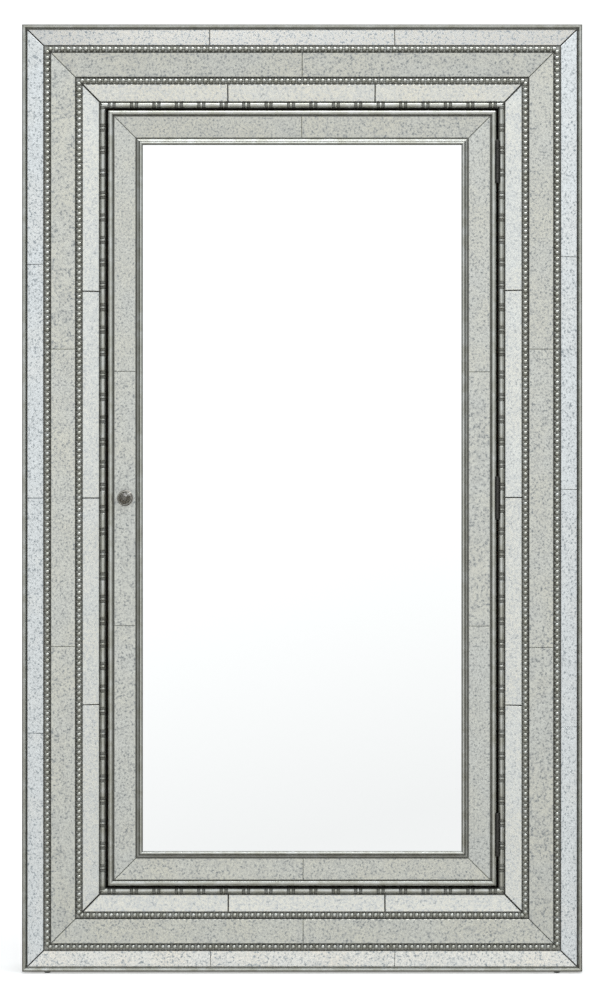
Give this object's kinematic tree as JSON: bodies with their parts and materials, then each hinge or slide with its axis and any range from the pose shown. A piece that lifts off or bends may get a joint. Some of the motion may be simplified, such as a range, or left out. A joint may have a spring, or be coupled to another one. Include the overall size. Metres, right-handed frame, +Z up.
{
  "type": "floor mirror with jewellery cabinet",
  "caption": "Tall rectangular floor mirror with a stepped frame of antiqued mirror and beaded mouldings; its centre is a hinged, mirrored door on a shallow jewellery cabinet.",
  "frame": {"origin": "on the floor, under the middle of the bounding box", "axes": "+Z up; the mirror faces -Y, its back is +Y; +X is the hinge side, at the right of a person facing the mirror"},
  "size_m": [1.2, 0.176, 2.032],
  "materials": {
    "antique_mirror": "antiqued silvering with fine foxing",
    "clear_mirror": "polished silvered glass",
    "moulding": "antique pewter leaf, satin",
    "substrate": "sealed fibreboard",
    "case_paint": "antique silver-grey paint, satin",
    "cabinet_paint": "silver-grey paint, satin",
    "hardboard": "raw hardboard",
    "bronze": "dark bronze",
    "nickel": "polished nickel",
    "steel": "zinc plated",
    "crystal": "cut crystal",
    "velvet": "short velvet pile",
    "lining": "woven lining cloth",
    "glide": "moulded"
  },
  "bodies": {
    "cabinet": {"case_side_left": "case_paint", "case_side_right": "case_paint", "case_bottom": "case_paint", "case_top": "case_paint", "back_panel": "hardboard", "cabinet_wall_left": "cabinet_paint", "cabinet_wall_right": "cabinet_paint", "cabinet_floor": "cabinet_paint", "cabinet_ceiling": "cabinet_paint", "glide_front_left": "glide", "glide_back_left": "glide", "glide_front_right": "glide", "glide_back_right": "glide", "frame_stile_right": "substrate", "frame_rail_top": "substrate", "frame_stile_left": "substrate", "frame_rail_bottom": "substrate", "outer_mirror_right": "antique_mirror", "outer_mirror_top": "antique_mirror", "outer_mirror_left": "antique_mirror", "outer_mirror_bottom": "antique_mirror", "wide_mirror_right": "antique_mirror", "wide_mirror_top": "antique_mirror", "wide_mirror_left": "antique_mirror", "wide_mirror_bottom": "antique_mirror", "inner_mirror_right": "antique_mirror", "inner_mirror_top": "antique_mirror", "inner_mirror_left": "antique_mirror", "inner_mirror_bottom": "antique_mirror", "edge_moulding": "moulding", "outer_bead_moulding": "moulding", "inner_bead_moulding": "moulding", "bead_and_reel_moulding": "moulding", "hinge_bottom_frame_leaf": "bronze", "hinge_bottom_pin": "bronze", "hinge_middle_frame_leaf": "bronze", "hinge_middle_pin": "bronze", "hinge_top_frame_leaf": "bronze", "hinge_top_pin": "bronze", "magnet_catch": "bronze", "shelf_upper": "cabinet_paint", "shelf_lower": "cabinet_paint", "necklace_rail": "nickel", "ring_holder": "velvet"},
    "door": {"door_panel": "cabinet_paint", "door_edge_moulding": "moulding", "door_mirror_right": "antique_mirror", "door_mirror_top": "antique_mirror", "door_mirror_left": "antique_mirror", "door_mirror_bottom": "antique_mirror", "door_sight_moulding": "moulding", "centre_mirror": "clear_mirror", "knob_base": "nickel", "knob_crystal": "crystal", "knob_screw": "steel", "hinge_bottom_door_leaf": "bronze", "hinge_middle_door_leaf": "bronze", "hinge_top_door_leaf": "bronze", "catch_strike": "steel", "earring_rack": "nickel"}
  },
  "joints": [
    {"name": "door_hinge", "type": "hinge", "parent": "cabinet", "child": "door", "pos_m": [0.4176, -0.054, 1.0175], "axis": [0, 0, 1], "range_deg": [0, 120]}
  ]
}
